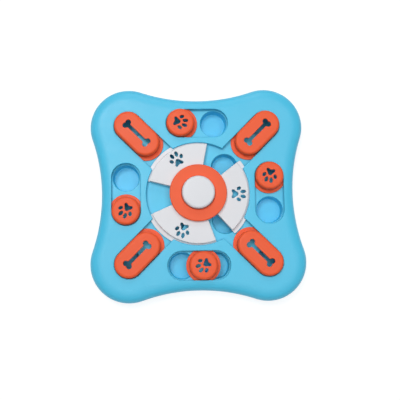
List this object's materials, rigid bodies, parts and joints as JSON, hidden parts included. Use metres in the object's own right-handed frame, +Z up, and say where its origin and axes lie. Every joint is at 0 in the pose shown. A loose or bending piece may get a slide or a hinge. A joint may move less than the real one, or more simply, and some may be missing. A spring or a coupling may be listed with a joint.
{
  "type": "dog puzzle feeder toy",
  "caption": "Pillow-shaped slow feeder for dogs: treat cups under round and bone-shaped sliding covers and turning fan covers, with a squeak button in the middle.",
  "frame": {"origin": "on the floor under the middle of the toy", "axes": "+Z up, +Y towards the side slot whose paw slider stands at its left end, +X to the right seen from above"},
  "size_m": [0.25, 0.25, 0.0398],
  "materials": {
    "blue_plastic": "satin moulded plastic, fine texture",
    "orange_plastic": "satin moulded plastic, fine texture",
    "white_plastic": "satin moulded plastic, fine texture",
    "reed_plastic": "smooth moulded plastic",
    "squeaker_rubber": "soft blown vinyl",
    "foot_rubber": "soft rubber",
    "screw_steel": "zinc-plated"
  },
  "bodies": {
    "tray_and_shell": {"top_shell": "blue_plastic", "cup_tray": "blue_plastic", "hub_ring": "orange_plastic", "squeaker_bulb": "squeaker_rubber", "squeaker_reed": "reed_plastic", "shell_screws": "screw_steel", "hub_screws": "screw_steel", "foot_northeast": "foot_rubber", "foot_northwest": "foot_rubber", "foot_southwest": "foot_rubber", "foot_southeast": "foot_rubber"},
    "paw_north": {"paw_slider_north": "orange_plastic"},
    "paw_west": {"paw_slider_west": "orange_plastic"},
    "paw_south": {"paw_slider_south": "orange_plastic"},
    "paw_east": {"paw_slider_east": "orange_plastic"},
    "bone_northeast": {"bone_slider_northeast": "orange_plastic"},
    "bone_northwest": {"bone_slider_northwest": "orange_plastic"},
    "bone_southwest": {"bone_slider_southwest": "orange_plastic"},
    "bone_southeast": {"bone_slider_southeast": "orange_plastic"},
    "fan_northwest": {"fan_cover_northwest": "white_plastic"},
    "fan_southwest": {"fan_cover_southwest": "white_plastic"},
    "fan_east": {"fan_cover_east": "white_plastic"},
    "button": {"squeak_button": "white_plastic"}
  },
  "joints": [
    {"name": "slide_paw_north", "type": "slide", "parent": "tray_and_shell", "child": "paw_north", "axis": [1, 0, 0], "range_m": [0, 0.039]},
    {"name": "slide_paw_west", "type": "slide", "parent": "tray_and_shell", "child": "paw_west", "axis": [0, 1, 0], "range_m": [0, 0.039]},
    {"name": "slide_paw_south", "type": "slide", "parent": "tray_and_shell", "child": "paw_south", "axis": [-1, 0, 0], "range_m": [-0.0146, 0.0244]},
    {"name": "slide_paw_east", "type": "slide", "parent": "tray_and_shell", "child": "paw_east", "axis": [0, -1, 0], "range_m": [0, 0.039]},
    {"name": "slide_bone_northeast", "type": "slide", "parent": "tray_and_shell", "child": "bone_northeast", "axis": [-0.7071, -0.7071, 0], "range_m": [0, 0.0053]},
    {"name": "slide_bone_northwest", "type": "slide", "parent": "tray_and_shell", "child": "bone_northwest", "axis": [0.7071, -0.7071, 0], "range_m": [0, 0.0053]},
    {"name": "slide_bone_southwest", "type": "slide", "parent": "tray_and_shell", "child": "bone_southwest", "axis": [0.7071, 0.7071, 0], "range_m": [0, 0.0053]},
    {"name": "slide_bone_southeast", "type": "slide", "parent": "tray_and_shell", "child": "bone_southeast", "axis": [-0.7071, 0.7071, 0], "range_m": [0, 0.0053]},
    {"name": "turn_fan_northwest", "type": "hinge", "parent": "tray_and_shell", "child": "fan_northwest", "pos_m": [0, 0, 0], "axis": [0, 0, 1], "range_deg": [-39.9, 37.3]},
    {"name": "turn_fan_southwest", "type": "hinge", "parent": "tray_and_shell", "child": "fan_southwest", "pos_m": [0, 0, 0], "axis": [0, 0, 1], "range_deg": [-37.3, 20.9]},
    {"name": "turn_fan_east", "type": "hinge", "parent": "tray_and_shell", "child": "fan_east", "pos_m": [0, 0, 0], "axis": [0, 0, 1], "range_deg": [-20.9, 39.9]},
    {"name": "press_button", "type": "slide", "parent": "tray_and_shell", "child": "button", "axis": [0, 0, -1], "range_m": [0, 0.004], "stiffness_N_per_m": 800, "deforming": ["squeaker_bulb"]}
  ]
}
